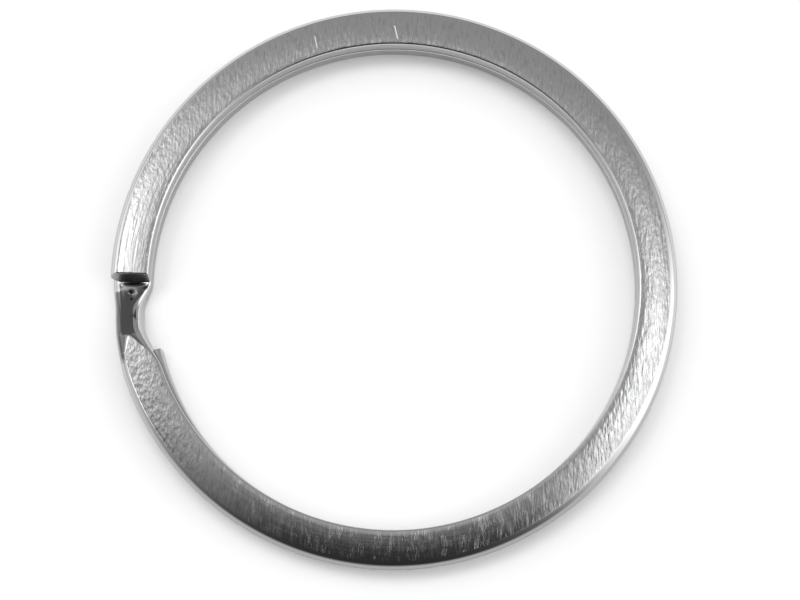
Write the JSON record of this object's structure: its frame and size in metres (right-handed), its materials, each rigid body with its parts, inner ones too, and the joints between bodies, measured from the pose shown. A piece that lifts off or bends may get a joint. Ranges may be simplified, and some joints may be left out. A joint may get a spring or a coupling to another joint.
{
  "type": "split key ring",
  "caption": "Split key ring of flat spring wire wound into touching coils, with a necked jog between them where keys are slid on.",
  "frame": {"origin": "centre of the ring, in the plane of the lower coil's underside", "axes": "+Z along the ring's axis, from the lower coil to the upper coil; the upper coil's cut end and the jog lie on the -X side; +Y is a quarter turn against the clock from +X, seen from above"},
  "size_m": [0.032, 0.032, 0.0023],
  "materials": {
    "steel": "nickel-plated spring steel, coarse brushed flat faces, smoother rounded rim, scratched by use"
  },
  "bodies": {
    "root": {"split_ring": "steel"}
  },
  "joints": []
}
